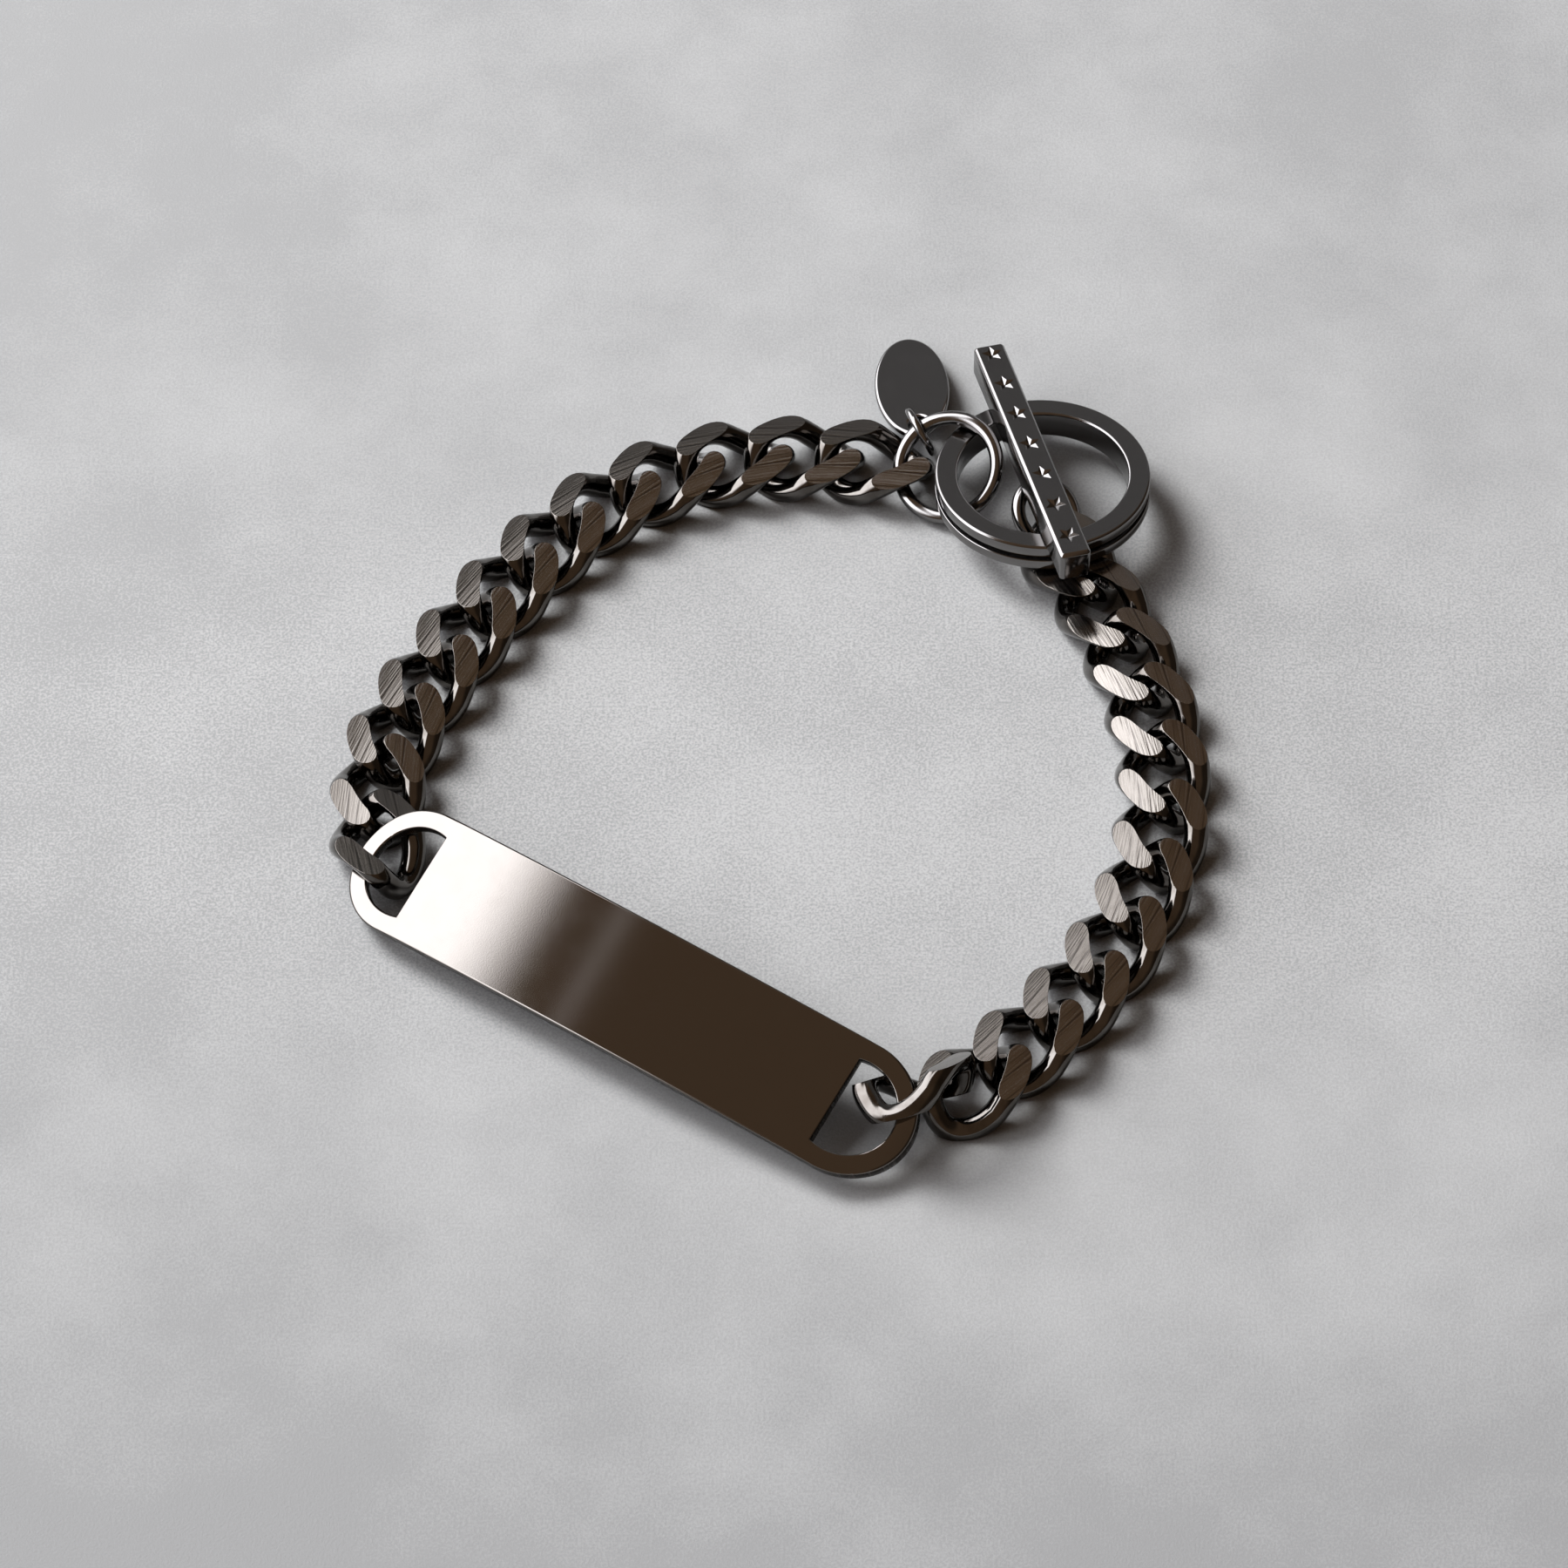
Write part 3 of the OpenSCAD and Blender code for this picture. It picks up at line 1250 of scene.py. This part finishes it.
@dataclass
class ChainRun:
    """A run of curb links laid one after another, each at its own heading."""

    letter: str
    start: tuple[float, float]
    headings: tuple[float, ...]
    end_place: Place
    pitch: float = 5.2
    centre_h: float = 1.425

    def link(self, number: int, place: Place) -> CurbLink:
        """Names and places one link.

        Args:
            number: The link's number in the run.
            place: Where it lies.

        Returns:
            The link.
        """
        node = f"link_{self.letter}{number:02d}"
        return CurbLink(f"curb_{node}", node, place, Finishes.CHAIN, Slot.CHAIN)

    def links(self) -> list[CurbLink]:
        """Lists the run's links, from the plate to the clasp.

        Returns:
            The links.
        """
        made = [self.link(1, self.end_place)]
        at = Vector(self.start)
        for number, degrees in enumerate(self.headings, 2):
            angle = math.radians(degrees)
            half = Vector((math.cos(angle), math.sin(angle))) * self.pitch / 2
            centre = at + half
            place = Place(centre.x, centre.y, self.centre_h, (0, 0, degrees))
            made.append(self.link(number, place))
            at = centre + half
        return made


@dataclass(frozen=True)
class Surroundings:
    """What the metal mirrors: a broad soft window on the left of a dark, warm room.

    Each plane is a direction that the line of sight is measured along. Each span is where one
    part fades into the next, along a plane's direction or along x, y or z.
    """

    window: Colour = (0.985, 0.985, 1.025, 1.0)
    window_strength: float = 6.8
    top_plane: Triple = (-0.737, 0.537, -0.411)
    top_span: Span = (-0.022, 0.045)
    side_plane: Triple = (-0.99, -0.139, 0.0)
    side_span: Span = (-0.08, 0.04)
    sill_span: Span = (0.0, 0.1)
    near_span: Span = (-0.65, -0.3)
    far_plane: Triple = (-0.38, 0.925, 0.0)
    far_span: Span = (0.565, 0.725)
    far_x_span: Span = (-0.6, -0.35)
    gleam: float = 0.07
    gleam_start: Span = (-0.065, -0.055)
    gleam_end: Span = (-0.053, -0.043)
    room: Colour = (0.237, 0.157, 0.1, 1.0)
    dark_room: Colour = (0.08, 0.057, 0.04, 1.0)
    dark_span: Span = (0.25, 0.7)
    far_wall: Colour = (0.24, 0.236, 0.236, 1.0)
    wall_span: Span = (0.64, 0.76)

    def background(self, board: NodeBoard) -> Signal:
        """Builds the background.

        Args:
            board: The world's nodes.

        Returns:
            The background shader.
        """
        direction = board.add("ShaderNodeTexCoord", {}, {}, "Generated")
        x, y, z = (board.axis(direction, name) for name in "XYZ")
        under = board.along(direction, self.top_plane)
        aside = board.along(direction, self.side_plane)
        reach = board.along(direction, self.far_plane)
        beyond = reach.step(*self.far_span) * x.step(*self.far_x_span)
        glass = under.step(*self.top_span) * aside.step(*self.side_span) * z.step(*self.sill_span)
        glass = glass * y.step(*self.near_span) * (1 - beyond)
        strip = under.step(*self.gleam_start) * (1 - under.step(*self.gleam_end)) * self.gleam
        room = board.blend(x.step(*self.dark_span), self.room, self.dark_room)
        room = board.blend(y.step(*self.wall_span), room, self.far_wall)
        bright = tuple(value * self.window_strength for value in self.window[:3]) + (1.0,)
        colour = board.blend(glass + (1 - glass) * strip, room, bright)
        return board.add("ShaderNodeBackground", {}, {"Color": colour, "Strength": 1.0})


@dataclass
class Studio:
    """Floor, light and camera, in metres, degrees, watts and millimetres of lens."""

    floor_size: float = 1.6
    floor_squares: int = 8
    floor_drop: float = 0.00002
    lamp_size: float = 0.27
    lamp_power: float = 10.0
    lamp_place: Triple = (-0.342, 0.287, 0.401)
    lens: float = 176.1
    sensor: float = 36.0
    nearest: float = 0.01
    farthest: float = 100.0
    camera_place: Triple = (0.00098, -0.33514, 0.43543)
    camera_tilt: float = 37.33

    def floor(self) -> None:
        """Lays the pale surface."""
        bm = bmesh.new()
        squares = self.floor_squares
        bmesh.ops.create_grid(bm, x_segments=squares, y_segments=squares, size=self.floor_size / 2)
        bmesh.ops.translate(bm, vec=(0, 0, -self.floor_drop), verts=bm.verts)
        mesh = bpy.data.meshes.new("pale_surface")
        bm.to_mesh(mesh)
        bm.free()
        mesh.materials.append(Finishes.FLOOR.value.material())
        put_in_scene("pale_surface", mesh)

    def world(self) -> None:
        """Puts the surroundings round the scene."""
        world = bpy.data.worlds.new("soft_window")
        world.use_nodes = True
        world.node_tree.nodes.clear()
        board = NodeBoard(world.node_tree)
        background = Surroundings().background(board)
        board.add("ShaderNodeOutputWorld", {}, {"Surface": background})
        bpy.context.scene.world = world

    def lamp(self) -> None:
        """Hangs one soft lamp, which shapes the shadows and which the metal doesn't mirror."""
        lamp = bpy.data.lights.new("side_softbox", "AREA")
        lamp.shape = "DISK"
        lamp.size = self.lamp_size
        lamp.energy = self.lamp_power
        softbox = put_in_scene("side_softbox", lamp)
        softbox.visible_glossy = False
        softbox.location = self.lamp_place
        softbox.rotation_euler = (-softbox.location).to_track_quat("-Z", "Y").to_euler()

    def camera(self) -> None:
        """Puts the camera at the photograph's viewing angle."""
        data = bpy.data.cameras.new("camera")
        data.lens = self.lens
        data.sensor_width = self.sensor
        data.clip_start = self.nearest
        data.clip_end = self.farthest
        camera = put_in_scene("camera", data)
        camera.location = self.camera_place
        camera.rotation_euler = (math.radians(self.camera_tilt), 0, 0)
        bpy.context.scene.camera = camera

    def build(self) -> None:
        """Makes the camera, the light and the floor."""
        self.camera()
        self.world()
        self.lamp()
        self.floor()
        bpy.context.scene.view_settings.view_transform = "Standard"


@dataclass
class Bracelet:
    """The whole bracelet, lying closed in a loop."""

    run_a: ChainRun = field(
        default_factory=lambda: ChainRun(
            letter="a",
            start=(-29.09, -4.25),
            headings=(85, 69, 61, 59, 54, 49, 37, 24, 10, -2, -8),
            end_place=Place(-28.7, -6.8, 1.82, (6.9, 6.4, 100.4)),
        )
    )
    run_b: ChainRun = field(
        default_factory=lambda: ChainRun(
            letter="b",
            start=(11.2, -28.9),
            headings=(41, 46, 52, 61, 71, 80, 92, 101, 109, 114, 119),
            end_place=Place(9.105, -28.829, 3.374, (-49.7, 8.1, 25.9)),
        )
    )

    def clasp(self) -> list[Piece]:
        """Lists the plate, the toggle, the jump rings and the tag.

        Returns:
            The pieces.
        """
        polished = (Finishes.CLASP, Slot.POLISHED)
        # Outer diameter and wire of each jump ring.
        big_ring = (8.5, 1.05)
        bar_ring = (5.8, 1.05)
        tag_ring = (4.1, 0.6)
        plate_place = Place(-11.1, -20.76, 4.41, (20.0, 0, -33.3))
        ring_place = Place(18.88, 25.1, 3.27, (-6.6, 0, 0))
        bar_place = Place(18.01, 25.27, 4.506, (-6.6, 0, 0), -75.0)
        big_place = Place(12.04, 27.23, 2.57, (25.2, -20.4, 0))
        bar_ring_place = Place(19.17, 22.92, 2.39, (17.3, 29, 0))
        tag_ring_place = Place(10.07, 30.55, 2.64, (109.9, 7.1, -64.3))
        tag_place = Place(9.54, 35.95, 0.87, (-9.37, 7.55, 96.15))
        return [
            IdentityPlate("identity_plate", "id_plate", plate_place, Finishes.PLATE, Slot.POLISHED),
            ToggleRing("grooved_toggle_ring", "toggle_ring", ring_place, *polished),
            ToggleBar("starred_toggle_bar", "toggle_bar", bar_place, *polished),
            JumpRing("large_jump_ring", "big_jump_ring", big_place, *polished, *big_ring),
            JumpRing("bar_ring", "bar_jump_ring", bar_ring_place, *polished, *bar_ring),
            JumpRing("tag_ring", "tag_jump_ring", tag_ring_place, *polished, *tag_ring),
            OvalTag("oval_tag", "tag", tag_place, *polished),
        ]

    def build(self) -> list[bpy.types.Object]:
        """Makes every piece in order.

        Returns:
            The pieces' objects.
        """
        pieces: list[Piece] = [*self.run_a.links(), *self.run_b.links(), *self.clasp()]
        return [piece.make() for piece in pieces]


def main() -> None:
    """Builds the studio and the bracelet, and reports each piece."""
    logging.basicConfig(level=logging.INFO, format="%(name)s: %(message)s")
    Studio().build()
    for piece in Bracelet().build():
        log.info("%s: %d faces", piece.name, len(piece.data.polygons))
    bpy.context.view_layer.update()


if __name__ == "__main__":
    main()
